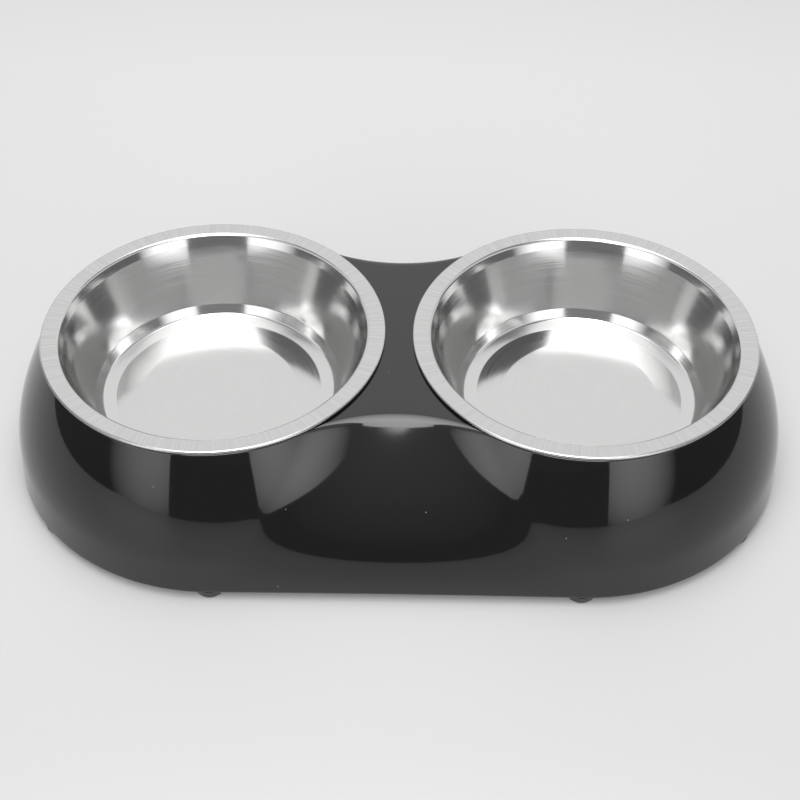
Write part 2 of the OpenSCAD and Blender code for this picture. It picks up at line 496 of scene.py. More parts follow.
def dress(obj: bpy.types.Object, finish: Finish, body: str) -> None:
    """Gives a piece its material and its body.

    Args:
        obj: the finished piece.
        finish: its finish.
        body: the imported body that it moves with.
    """
    obj.data.materials.clear()
    obj.data.materials.append(finish.make())
    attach(obj, body)


@dataclass(frozen=True)
class GlossMelamine(Finish):
    """Black moulded melamine with a high gloss.

    Attributes:
        slot: the record's slot that it goes with; not used.
        colour: the melamine's own colour.
        ior: its refractive index, which sets how much it mirrors.
        gloss: lowest and highest roughness.
        haze_scale: cycles of that roughness per metre.
        ripple: depth of the slow waves that the mould leaves.
        ripple_scale: waves per metre.
        specks: how much of the surface holds a speck of dust, 0 to 1.
        speck_scale: places for a speck per metre.
        speck_edge: where a speck begins to fade and ends, in shares of its place.
        speck_colour: the dust's colour.
    """

    slot: str = "stand_melamine"
    colour: Triple = (0.0035, 0.0035, 0.0036)
    ior: float = 1.58
    gloss: Pair = (0.04, 0.06)
    haze_scale: float = 70
    ripple: float = 0.02 * MM
    ripple_scale: float = 45
    specks: float = 0.02
    speck_scale: float = 260
    speck_edge: Pair = (0.05, 0.08)
    speck_colour: Triple = (0.25, 0.25, 0.25)

    def make(self) -> bpy.types.Material:
        """Makes the material.

        Returns:
            The material.
        """
        bench = Bench.for_material("gloss_melamine")
        place = bench.place()
        haze = bench.scaled(bench.noise(place, self.haze_scale, 4), NOISE_SPAN, self.gloss)
        normal = bench.bump(bench.noise(place, self.ripple_scale, 1), self.ripple)
        cells = bench.add("TexVoronoi", {"Vector": place, "Scale": self.speck_scale}, feature="F1")
        lot = bench.add("SeparateColor", {0: cells.outputs["Color"]}).outputs[0]
        chosen = bench.math("LESS_THAN", lot, self.specks)
        speck = bench.math("MULTIPLY", chosen,
                           bench.scaled(cells.outputs["Distance"], self.speck_edge, (1, 0)))
        colour = bench.add("Mix", {0: speck, 6: (*self.colour, 1), 7: (*self.speck_colour, 1)},
                           data_type="RGBA").outputs[2]
        return bench.finish(bench.add("BsdfPrincipled", {
            "Base Color": colour, "Roughness": haze, "IOR": self.ior, "Normal": normal}))


@dataclass(frozen=True)
class SpunSteel(Finish):
    """Polished stainless sheet with the fine rings of spinning and a brushed rim.

    Attributes:
        axis_x: place of the bowl's axis along X.
        rim_height: height of the rim's top face.
        neck_radius: radius at which the flat rim begins.
        slot: the record's slot that it goes with; not used.
        colour: the steel's own colour.
        wall_roughness: roughness of the neck and the wall.
        floor_roughness: roughness of the floor.
        rim_roughness: roughness of the flat rim.
        streaks: how much the rings change the roughness, each way.
        drawn: how far the rings stretch a reflection across them, 0 to 1.
        drawn_turn: turn of that stretch from the way round the bowl, in whole turns.
        rim_fade: width over which the wall's finish turns into the rim's.
        floor_fade: depths over which the floor's roughness turns into the wall's.
        drawn_fade: depths over which the stretch begins.
        rings: pitch of the rings, round the axis and out from it.
        strokes: pitch of the rim's brush strokes, likewise.
        ring_tone: darkest and lightest tone of the rings.
        stroke_tone: darkest and lightest tone of the strokes.
        grain: depth of the rings.
        stroke_depth: how many times deeper the strokes are.
        waves: depth of the sheet's slow waves.
        wave_scale: waves per metre.
        pole_radius: radius within which the rings fade into the middle.
    """

    axis_x: float
    rim_height: float
    neck_radius: float
    slot: str = "bowl_steel"
    colour: Triple = (0.53, 0.53, 0.527)
    wall_roughness: float = 0.12
    floor_roughness: float = 0.13
    rim_roughness: float = 0.2
    streaks: float = 0.03
    drawn: float = 0.5
    drawn_turn: float = 0.25
    rim_fade: float = 0.6 * MM
    floor_fade: Pair = (-32 * MM, -27 * MM)
    drawn_fade: Pair = (-33 * MM, -29 * MM)
    rings: Pair = (1.2, 1500)
    strokes: Pair = (120, 40)
    ring_tone: Pair = (0.985, 1.015)
    stroke_tone: Pair = (0.88, 0.98)
    grain: float = 0.0012 * MM
    stroke_depth: float = 8
    waves: float = 0.05 * MM
    wave_scale: float = 55
    pole_radius: float = 1 * MM

    def make(self) -> bpy.types.Material:
        """Makes the material.

        Returns:
            The material.
        """
        bench = Bench.for_material("spun_steel")
        place = bench.add("Mapping", {
            "Vector": bench.place(), "Location": (-self.axis_x, 0, -self.rim_height)}).outputs[0]
        x, y, z = bench.parts(place)
        radius = bench.math("SQRT", bench.math(
            "ADD", bench.math("MULTIPLY", x, x), bench.math("MULTIPLY", y, y)))
        safe = bench.math("MAXIMUM", radius, self.pole_radius)
        outwards = bench.math("ADD", radius, z)
        east, north = bench.math("DIVIDE", x, safe), bench.math("DIVIDE", y, safe)

        def around(pitch: Pair, detail: float) -> Socket:
            """Noise that runs round the axis and out from the floor, without a seam.

            Args:
                pitch: its pitch round the axis and out from it.
                detail: how many finer layers it has.

            Returns:
                Its value.
            """
            turns, across = pitch
            path = bench.add("CombineXYZ", {
                0: bench.math("MULTIPLY", east, turns), 1: bench.math("MULTIPLY", north, turns),
                2: bench.math("MULTIPLY", outwards, across)})
            return bench.noise(path.outputs[0], 1, detail)

        rings, strokes = around(self.rings, 3), around(self.strokes, 2)
        on_rim = bench.scaled(radius, (self.neck_radius, self.neck_radius + self.rim_fade), (0, 1))
        on_floor = bench.scaled(z, self.floor_fade, (1, 0))
        inside = bench.mixed(on_floor, self.wall_roughness, self.floor_roughness)
        plain = bench.mixed(on_rim, inside, self.rim_roughness)
        roughness = bench.math("ADD", plain,
                               bench.scaled(rings, NOISE_SPAN, (-self.streaks, self.streaks)))
        drawn = bench.math("MULTIPLY", bench.scaled(z, self.drawn_fade, (0, 1)),
                           bench.scaled(on_rim, (0, 1), (self.drawn, 0)))
        tangent = bench.add("CombineXYZ", {0: bench.math("MULTIPLY", north, -1.0), 1: east})
        tone = bench.mixed(on_rim, bench.scaled(rings, NOISE_SPAN, self.ring_tone),
                           bench.scaled(strokes, NOISE_SPAN, self.stroke_tone))
        colour = bench.add("CombineColor", {
            i: bench.math("MULTIPLY", tone, part) for i, part in enumerate(self.colour)}).outputs[0]
        grain = bench.mixed(on_rim, rings, bench.math("MULTIPLY", strokes, self.stroke_depth))
        waves = bench.bump(bench.noise(place, self.wave_scale, 1), self.waves)
        return bench.finish(bench.add("BsdfPrincipled", {
            "Base Color": colour, "Metallic": 1.0, "Roughness": roughness,
            "Normal": bench.bump(grain, self.grain, waves), "Anisotropic": drawn,
            "Anisotropic Rotation": self.drawn_turn, "Tangent": tangent.outputs[0]}))


@dataclass(frozen=True)
class FootRubber(Finish):
    """Soft dark rubber with a faint moulded grain.

    Attributes:
        slot: the record's slot that it goes with; not used.
        colour: the rubber's own colour.
        roughness: lowest and highest roughness.
        haze_scale: cycles of that roughness per metre.
        grain: depth of the grain.
        grain_scale: cycles of the grain per metre.
    """

    slot: str = "foot_rubber"
    colour: Triple = (0.03, 0.03, 0.031)
    roughness: Pair = (0.34, 0.5)
    haze_scale: float = 300
    grain: float = 0.02 * MM
    grain_scale: float = 1800

    def make(self) -> bpy.types.Material:
        """Makes the material.

        Returns:
            The material.
        """
        bench = Bench.for_material("foot_rubber")
        place = bench.place()
        haze = bench.scaled(bench.noise(place, self.haze_scale, 3), NOISE_SPAN, self.roughness)
        normal = bench.bump(bench.noise(place, self.grain_scale, 3), self.grain)
        return bench.finish(bench.add("BsdfPrincipled", {
            "Base Color": (*self.colour, 1), "Roughness": haze, "Normal": normal}))


@dataclass(frozen=True)
class SideCurve:
    """Half-width of the stand against depth: a rounded top edge, a curved shoulder, then a draft.

    Attributes:
        flat: half-width of the flat top.
        edge_radius: radius of the top edge.
        top_lean: lean of the wall just below that edge.
        shoulder_depth: depth at which the curve meets the straight wall.
        shoulder_width: half-width there.
        low_lean: lean of the wall there and below.
    """

    flat: float
    edge_radius: float
    top_lean: float
    shoulder_depth: float
    shoulder_width: float
    low_lean: float

    @property
    def edge_depth(self) -> float:
        """Depth at which the rounded edge ends."""
        return self.edge_radius * (1 - math.sin(math.radians(self.top_lean)))

    @property
    def _curve(self) -> tuple[float, float, float, float, float]:
        """The ends of the shoulder.

        Returns:
            Its span, its two half-widths and its two slopes over that span.
        """
        span = self.shoulder_depth - self.edge_depth
        start = self.flat + self.edge_radius * math.cos(math.radians(self.top_lean))
        top, low = (math.tan(math.radians(lean)) * span for lean in (self.top_lean, self.low_lean))
        return span, start, self.shoulder_width, top, low

    def at(self, depth: float) -> float:
        """Half-width at one depth.

        Args:
            depth: how far below the flat top.

        Returns:
            The half-width.
        """
        if depth < self.edge_depth:
            rise = self.edge_radius - depth
            return self.flat + math.sqrt(max(0, self.edge_radius**2 - rise**2))
        if depth < self.shoulder_depth:
            span, *ends = self._curve
            return blend((depth - self.edge_depth) / span, *ends)
        below = depth - self.shoulder_depth
        return self.shoulder_width + below * math.tan(math.radians(self.low_lean))

    def slope(self, depth: float) -> float:
        """How fast the half-width grows with depth.

        Args:
            depth: how far below the flat top, past the rounded edge.

        Returns:
            The growth per unit of depth.
        """
        if depth < self.shoulder_depth:
            span, *ends = self._curve
            return blend_slope((depth - self.edge_depth) / span, *ends) / span
        return math.tan(math.radians(self.low_lean))


@dataclass
class StandShell:
    """The moulded stand: one open-bottomed shell with two round openings in its flat top.

    Attributes:
        node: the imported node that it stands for.
        wall: wall thickness of the moulding.
        bowl_spacing: distance between the middles of the two openings.
        opening_radius: radius of an opening.
        opening_edge_radius: radius of an opening's lip.
        land_radius: radius of the flat round an opening.
        land_edge_radius: radius of the top edge round that flat.
        waist_half: half the width of the flat top at the waist.
        waist_edge_radius: radius of the top edge at the waist.
        bottom_edge_radius: radius of the outer edge at the bottom.
        shoulder_depth: depth at which a lobe's shoulder ends.
        shoulder_lean: lean of that shoulder at its top.
        wall_draft: lean of the wall below it.
        waist_depth: depth at which the waist's shoulder ends.
        waist_lean: lean of that shoulder at its top.
        waist_low_lean: lean of the wall below it.
        waist_inset: how far the waist lies inside the lobes at the bottom edge.
        boss_diameter: diameter of the bosses that hold the feet.
        boss_height: height of their upper ends above the stand's lower edge.
        boss_recess: height of their lower ends above it.
        boss_skin: how far their outer sides stay inside the stand's outer face.
        stem_hole_diameter: diameter of the holes for the feet's stems.
        stem_hole_depth: height of the holes' ends above the stand's lower edge.
        foot_inset: how far the feet's middles stand in from the lower edge.
        foot_spacing: distance between the two feet of a long side.
        foot_angle: turn of an end's feet from the X axis, about the middle of the end's arc.
        flat_margin: width of the strip of flat face that the walls carry at each edge.
        lobe_steps: facets of a lobe in a quarter of the outline.
        waist_steps: facets of the waist in a quarter of the outline.
        edge_steps: facets of a rounded edge.
        shoulder_steps: rings down a shoulder.
        wall_steps: rings down a wall.
        post_facets: facets round a boss.
        sharp_angle: edges that turn more than this stay sharp.
        low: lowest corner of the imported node's box.
        high: highest corner of that box.
    """

    node: str = "stand_shell"
    wall: float = 3.2 * MM
    bowl_spacing: float = 151 * MM
    opening_radius: float = 64.1 * MM
    opening_edge_radius: float = 0.5 * MM
    land_radius: float = 68.4 * MM
    land_edge_radius: float = 1.5 * MM
    waist_half: float = 44.7 * MM
    waist_edge_radius: float = 5.2 * MM
    bottom_edge_radius: float = 1.3 * MM
    shoulder_depth: float = 46 * MM
    shoulder_lean: float = 28.0
    wall_draft: float = 3.1
    waist_depth: float = 55.4 * MM
    waist_lean: float = 44.0
    waist_low_lean: float = 5.0
    waist_inset: float = 0.4 * MM
    boss_diameter: float = 12 * MM
    boss_height: float = 8.5 * MM
    boss_recess: float = 0.4 * MM
    boss_skin: float = 1.4 * MM
    stem_hole_diameter: float = 4.2 * MM
    stem_hole_depth: float = 6.1 * MM
    foot_inset: float = 6.9 * MM
    foot_spacing: float = 147.5 * MM
    foot_angle: float = 37.0
    flat_margin: float = 0.8 * MM
    lobe_steps: int = 36
    waist_steps: int = 20
    edge_steps: int = 8
    shoulder_steps: int = 28
    wall_steps: int = 8
    post_facets: int = 48
    sharp_angle: float = 38.0
    low: Vector = field(init=False)
    high: Vector = field(init=False)

    def __post_init__(self) -> None:
        """Reads the stand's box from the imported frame."""
        self.low, self.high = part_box(self.node)

    @property
    def height(self) -> float:
        """Height of the moulding, without the feet."""
        return self.high.z - self.low.z

    @property
    def end_radius(self) -> float:
        """Radius of the stand's ends at the bottom edge."""
        return self.high.y

    @property
    def lobe_low_x(self) -> float:
        """Centre of an end's arc at the bottom edge."""
        return self.high.x - self.end_radius

    @property
    def lobe_side(self) -> SideCurve:
        """The side curve of the lobes.

        Returns:
            The curve.
        """
        draft = (self.height - self.shoulder_depth) * math.tan(math.radians(self.wall_draft))
        return SideCurve(self.land_radius, self.land_edge_radius, self.shoulder_lean,
                         self.shoulder_depth, self.end_radius - draft, self.wall_draft)

    @property
    def waist_side(self) -> SideCurve:
        """The side curve at the waist.

        Returns:
            The curve.
        """
        lean_in = (self.height - self.waist_depth) * math.tan(math.radians(self.waist_low_lean))
        return SideCurve(self.waist_half, self.waist_edge_radius, self.waist_lean, self.waist_depth,
                         self.end_radius - self.waist_inset - lean_in, self.waist_low_lean)

    def lobe_x(self, depth: float) -> float:
        """Centre of a lobe's arc, which shifts as the shoulder swells.

        Args:
            depth: how far below the flat top.

        Returns:
            Its distance from the middle of the stand.
        """
        lobe = self.lobe_side
        share = (lobe.at(depth) - lobe.flat) / (lobe.shoulder_width - lobe.flat)
        top = self.bowl_spacing / 2
        return top + (self.lobe_low_x - top) * min(1, max(0, share))

    def outline(self, depth: float, radius: float, waist: float) -> list[Vector]:
        """Outline at one depth: two lobes joined on each long side by an arc that touches both.

        Args:
            depth: how far below the flat top.
            radius: radius of the lobes.
            waist: half-width at the waist.

        Returns:
            The ring's points, anticlockwise from the end of the right lobe.
        """
        x, z = self.lobe_x(depth), self.high.z - depth
        arc = (x**2 + waist**2 - radius**2) / (2 * (radius - waist))
        middle = waist + arc
        turn = math.atan2(middle, -x)
        start = math.atan2(-middle, x)
        quarter = [(x + radius * math.cos(turn * i / self.lobe_steps),
                    radius * math.sin(turn * i / self.lobe_steps))
                   for i in range(self.lobe_steps + 1)]
        for i in range(1, self.waist_steps + 1):
            angle = start + (-QUARTER_TURN - start) * i / self.waist_steps
            quarter.append((arc * math.cos(angle), middle + arc * math.sin(angle)))
        half = quarter + [(-px, py) for px, py in quarter[-2::-1]]
        return [Vector((px, py, z)) for px, py in half + [(px, -py) for px, py in half[-2:0:-1]]]

    def outer_ring(self, depth: float) -> list[Vector]:
        """Ring of the outer face, drawn in round the bottom edge.

        Args:
            depth: how far below the flat top.

        Returns:
            The ring's points.
        """
        low = max(0, depth - (self.height - self.bottom_edge_radius))
        inset = self.bottom_edge_radius - math.sqrt(max(0, self.bottom_edge_radius**2 - low**2))
        return self.outline(depth, self.lobe_side.at(depth) - inset,
                            self.waist_side.at(depth) - inset)

    def inner_ring(self, depth: float) -> list[Vector]:
        """Ring of the inner face, one wall further in.

        Args:
            depth: how far below the flat top.

        Returns:
            The ring's points.
        """
        lobe, waist = (side.at(depth) - self.wall * math.sqrt(1 + side.slope(depth) ** 2)
                       for side in (self.lobe_side, self.waist_side))
        return self.outline(depth, lobe, min(waist, lobe - self.waist_inset))

    def depths(self) -> tuple[list[float], list[float]]:
        """Depths of the rings, close together round the edges.

        Returns:
            The depths of the outer rings going down, and of the inner rings going up.
        """
        lobe, waist = self.lobe_side, self.waist_side

        def edge(side: SideCurve) -> list[float]:
            """Depths round one rounded top edge.

            Args:
                side: the side curve with that edge.

            Returns:
                The depths.
            """
            turn = math.radians(90 - side.top_lean)
            return [side.edge_radius * (1 - math.cos(turn * i / self.edge_steps))
                    for i in range(1, self.edge_steps + 1)]

        def even(start: float, end: float, steps: int) -> list[float]:
            """Even steps from start to end, without the start."""
            return [start + (end - start) * i / steps for i in range(1, steps + 1)]

        straight = self.height - self.bottom_edge_radius
        outside = [0.0, *edge(lobe), *(d for d in edge(waist) if d > lobe.edge_depth)]
        outside += even(waist.edge_depth, self.shoulder_depth, self.shoulder_steps)
        outside += even(self.shoulder_depth, straight, self.wall_steps)
        bottom = (QUARTER_TURN * i / self.edge_steps for i in range(1, self.edge_steps + 1))
        outside += [straight + self.bottom_edge_radius * math.sin(turn) for turn in bottom]
        inside = [self.wall, *even(self.wall, self.shoulder_depth, self.shoulder_steps // 2)]
        inside += even(self.shoulder_depth, self.height, self.wall_steps // 2)
        return outside, inside[::-1]

    def raise_walls(self) -> bpy.types.Object:
        """Extrudes a circle into a tube of rings, and lays each ring on its outline.

        The rings are first one unit apart, so that a vertex's height tells which ring it is of.

        Returns:
            The shell's walls, from the flat top down the outside and up the inside.
        """
        outside, inside = self.depths()
        rings = [self.outer_ring(d) for d in outside] + [self.inner_ring(d) for d in inside]
        rings.insert(0, drawn_in(rings[0], self.flat_margin))
        rings.append(drawn_in(rings[-1], self.flat_margin))
        count = len(rings[0])
        deselect_everything()
        bpy.ops.mesh.primitive_circle_add(vertices=count, radius=1, fill_type="NOTHING")
        shell = new_piece("stand_moulding")
        with editing(shell):
            for _ in rings[1:]:
                extrude_upwards(-1)
        for vertex in shell.data.vertices:
            turn = math.atan2(vertex.co.y, vertex.co.x) / FULL_TURN
            vertex.co = rings[round(-vertex.co.z)][round(turn * count) % count]
        return shell

    def cut_opening(self, shell: bpy.types.Object, side: Side) -> None:
        """Adds the wall of one opening: a rounded lip and a bore, with a flat strip at each end.

        Args:
            shell: the stand's walls, in object mode.
            side: which opening.
        """
        top, ceiling = self.high.z, self.high.z - self.wall
        lip = self.opening_radius + self.opening_edge_radius
        path = [(lip + self.flat_margin, top)]
        for i in range(self.edge_steps + 1):
            turn = QUARTER_TURN * i / self.edge_steps
            path.append((lip - self.opening_edge_radius * math.sin(turn),
                         top - self.opening_edge_radius * (1 - math.cos(turn))))
        path += [(self.opening_radius, ceiling), (self.opening_radius + self.flat_margin, ceiling)]
        centre_x = side.value * self.bowl_spacing / 2
        with editing(shell):
            bpy.ops.mesh.select_all(action="DESELECT")
            bpy.ops.mesh.primitive_circle_add(vertices=4 * self.lobe_steps, radius=path[0][0],
                                              fill_type="NOTHING", location=(centre_x, 0, top))
            extrude_round(path, centre_x)

    def close_flat(self, shell: bpy.types.Object, height: float) -> None:
        """Fills the flat face between the open edges at one height.

        Args:
            shell: the stand's walls and openings, in object mode.
            height: the height of the flat face.
        """
        mesh = shell.data
        uses = Counter(key for face in mesh.polygons for key in face.edge_keys)
        select_only(mesh, [edge for edge in mesh.edges if uses[edge.key] == 1
                           and abs(mesh.vertices[edge.key[0]].co.z - height) < MERGE_DISTANCE])
        with editing(shell):
            bpy.ops.mesh.fill(use_beauty=True)

    def places(self, circle_radius: float) -> list[Pair]:
        """Places along the bottom edge, two on each long side and two round each end.

        Args:
            circle_radius: distance of the places from the middle of their arc.

        Returns:
            The places, as (x, y).
        """
        turn = math.radians(self.foot_angle)
        spots = []
        for side in Side:
            for row in Row:
                spots.append((side.value * self.foot_spacing / 2, row.value * circle_radius))
                spots.append((side.value * (self.lobe_low_x + circle_radius * math.cos(turn)),
                              row.value * circle_radius * math.sin(turn)))
        return spots

    def posts(self, name: str, circle_radius: float, diameter: float,
              span: Pair) -> bpy.types.Object:
        """Upright round posts at the eight places along the bottom edge, as one object.

        Args:
            name: name of the object.
            circle_radius: distance of the posts from the middle of their arc.
            diameter: their diameter.
            span: heights of their ends above the stand's lower edge.

        Returns:
            The posts.
        """
        low, high = (self.low.z + height for height in span)
        made = []
        for x, y in self.places(circle_radius):
            deselect_everything()
            bpy.ops.mesh.primitive_cylinder_add(
                vertices=self.post_facets, radius=diameter / 2, depth=high - low,
                location=(x, y, (low + high) / 2))
            made.append(new_piece(name))
        for obj in made:
            obj.select_set(True)
        bpy.ops.object.join()
        posts = bpy.context.view_layer.objects.active
        seat_in_mesh(posts)
        return posts

    def add_bosses(self, shell: bpy.types.Object) -> None:
        """Joins the bosses for the feet to the inner wall and bores their stem holes.

        Args:
            shell: the closed moulding.
        """
        bosses = self.posts("bosses", self.end_radius - self.boss_skin - self.boss_diameter / 2,
                            self.boss_diameter, (self.boss_recess, self.boss_height))
        combine(shell, bosses, Carving.ADD)
        holes = self.posts("stem_holes", self.end_radius - self.foot_inset,
                           self.stem_hole_diameter, (-self.boss_recess, self.stem_hole_depth))
        combine(shell, holes, Carving.CUT)

    def build(self, finish: Finish) -> bpy.types.Object:
        """Models the moulding and dresses it.

        Args:
            finish: its finish.

        Returns:
            The finished moulding.
        """
        shell = self.raise_walls()
        for side in Side:
            self.cut_opening(shell, side)
        for height in (self.high.z, self.high.z - self.wall):
            self.close_flat(shell, height)
        close_and_point_outwards(shell)
        self.add_bosses(shell)
        shade_smooth(shell, self.sharp_angle)
        dress(shell, finish, STAND_BODY)
        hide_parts(self.node)
        return shell


@dataclass
class SteelBowl:
    """One lift-out bowl of a single sheet: hemmed rim, short neck, leaning wall, banded floor.

    Attributes:
        side: which bowl.
        sheet: thickness of the steel.
        flange_width: width of the rim, from its outer edge to the inside of the neck.
        hem_height: height of the hem that is rolled under the rim.
        hem_width: how far the hem reaches back under the rim.
        hem_roundness: radius of the hem's two bends, as a share of its height.
        neck_height: height of the neck.
        neck_lean: lean of the neck from upright.
        rim_bend: radius of the bend from the rim into the neck.
        neck_bend: radius of the bend from the neck into the wall.
        foot_radius: outer radius of the tilted band round the floor, where the wall ends.
        foot_height: height of the wall's lowest stretch, which leans in a little more.
        foot_lean: lean of that stretch from upright.
        foot_bend: radius of the bend from the wall into that stretch.
        depth: from the rim's top face down to the ring in the floor.
        floor_bend: radius of the bend from the wall into the band.
        band_width: width of the tilted band round the floor.
        band_tilt: tilt of the band from level.
        ring_bend: radius of the bend between the band and the rise to the disc.
        rise_width: width of the rise from the ring to the raised disc.
        disc_rise: height of the raised disc above the ring.
        disc_bend: radius of the bend at the disc's edge.
        facets: facets round the bowl.
        bend_steps: facets of a bend.
        disc_rings: rings of faces in the disc.
        sharp_angle: edges that turn more than this stay sharp.
        low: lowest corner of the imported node's box.
        high: highest corner of that box.
    """

    side: Side
    sheet: float = 0.65 * MM
    flange_width: float = 7.2 * MM
    hem_height: float = 1.6 * MM
    hem_width: float = 2.6 * MM
    hem_roundness: float = 0.49
    neck_height: float = 3.9 * MM
    neck_lean: float = 25.0
    rim_bend: float = 1.8 * MM
    neck_bend: float = 2 * MM
    foot_radius: float = 48.4 * MM
    foot_height: float = 4.1 * MM
    foot_lean: float = 32.0
    foot_bend: float = 3 * MM
    depth: float = 34.4 * MM
    floor_bend: float = 1.6 * MM
    band_width: float = 5.3 * MM
    band_tilt: float = 8.0
    ring_bend: float = 3 * MM
    rise_width: float = 11 * MM
    disc_rise: float = 0.9 * MM
    disc_bend: float = 10 * MM
    facets: int = 256
    bend_steps: int = 8
    disc_rings: int = 5
    sharp_angle: float = 60.0
    low: Vector = field(init=False)
    high: Vector = field(init=False)

    def __post_init__(self) -> None:
        """Reads the bowl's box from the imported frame."""
        self.low, self.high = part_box(self.node)

    @property
    def node(self) -> str:
        """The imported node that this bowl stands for, which is also its body."""
        return f"{self.side.name.lower()}_bowl"

    @property
    def centre_x(self) -> float:
        """Place of the bowl's axis along X."""
        return (self.low.x + self.high.x) / 2

    @property
    def rim_radius(self) -> float:
        """Radius of the rim's outer edge."""
        return (self.high.x - self.low.x) / 2

    @property
    def neck_radius(self) -> float:
        """Radius at which the flat rim begins."""
        return self.rim_radius - self.flange_width

    def off_axis(self, place: Vector) -> float:
        """Distance of a place from the bowl's axis."""
        return math.hypot(place.x - self.centre_x, place.y)

    def corners(self) -> list[Triple]:
        """Corners of the sheet's upper face.

        Returns:
            Radius, height and bend radius of each, from the edge of the raised disc out to the hem.
        """
        rim, neck, top = self.rim_radius, self.neck_radius, self.high.z
        ring = self.foot_radius - self.band_width
        foot_depth = self.depth - self.band_width * math.tan(math.radians(self.band_tilt))
        foot_top = self.foot_radius + self.foot_height * math.tan(math.radians(self.foot_lean))
        neck_foot = neck - self.neck_height * math.tan(math.radians(self.neck_lean))
        hem_bend = self.hem_roundness * self.hem_height
        return [
            (ring - self.rise_width, top - self.depth + self.disc_rise, self.disc_bend),
            (ring, top - self.depth, self.ring_bend),
            (self.foot_radius, top - foot_depth, self.floor_bend),
            (foot_top, top - foot_depth + self.foot_height, self.foot_bend),
            (neck_foot, top - self.neck_height, self.neck_bend),
            (neck, top, self.rim_bend),
            (rim, top, hem_bend),
            (rim, top - self.hem_height, hem_bend),
            (rim - self.hem_width, top - self.hem_height, 0.0),
        ]

    def bend(self, bowl: bpy.types.Object, corners: list[Triple], index: int) -> None:
        """Rounds the sheet at one corner with a true arc.

        Args:
            bowl: the sheet, in object mode.
            corners: all corners, starting at the middle of the floor.
            index: which corner.
        """
        (r0, z0, _), (r1, z1, radius), (r2, z2, _) = corners[index - 1 : index + 2]
        turn = abs(math.atan2(z2 - z1, r2 - r1) - math.atan2(z1 - z0, r1 - r0))
        select_where(bowl, lambda p: abs(self.off_axis(p) - r1) + abs(p.z - z1) < MERGE_DISTANCE)
        with editing(bowl):
            round_over(radius, min(turn, FULL_TURN - turn), self.bend_steps)

    def draw_sheet(self) -> bpy.types.Object:
        """Draws the sheet's upper face out from the disc's edge and bends it at each corner.

        Returns:
            The open sheet, with no thickness yet.
        """
        corners = self.corners()
        radius, height, _ = corners[0]
        deselect_everything()
        bpy.ops.mesh.primitive_circle_add(vertices=self.facets, radius=radius, fill_type="NGON",
                                          location=(self.centre_x, 0, height))
        bowl = new_piece(f"{self.side.name.lower()}_steel_bowl")
        seat_in_mesh(bowl)
        with editing(bowl):
            bpy.ops.mesh.select_all(action="SELECT")
            for _ in range(self.disc_rings):
                bpy.ops.mesh.inset(thickness=radius / (self.disc_rings + 1), depth=0)
            bpy.ops.mesh.poke()
        select_where(bowl, lambda p: self.off_axis(p) > radius - MERGE_DISTANCE)
        with editing(bowl):
            extrude_round([(r, z) for r, z, _ in corners], self.centre_x)
        chain = [(0.0, height, 0.0), *corners]
        for index in range(1, len(chain) - 1):
            self.bend(bowl, chain, index)
        return bowl

    def build(self, finish: Finish) -> bpy.types.Object:
        """Models the bowl and dresses it.

        Args:
            finish: its finish.

        Returns:
            The finished bowl.
        """
        bowl = self.draw_sheet()
        close_and_point_outwards(bowl)
        middle = min(bowl.data.polygons, key=lambda face: self.off_axis(face.center))
        if middle.normal.z < 0:
            with editing(bowl):
                bpy.ops.mesh.select_all(action="SELECT")
                bpy.ops.mesh.flip_normals()
        apply_modifier(bowl, "Sheet", "SOLIDIFY", thickness=self.sheet, offset=-1,
                       use_even_offset=True)
        shade_smooth(bowl, self.sharp_angle)
        apply_modifier(bowl, "Even shading", "WEIGHTED_NORMAL", keep_sharp=True)
        dress(bowl, finish, self.node)
        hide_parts(self.node)
        return bowl


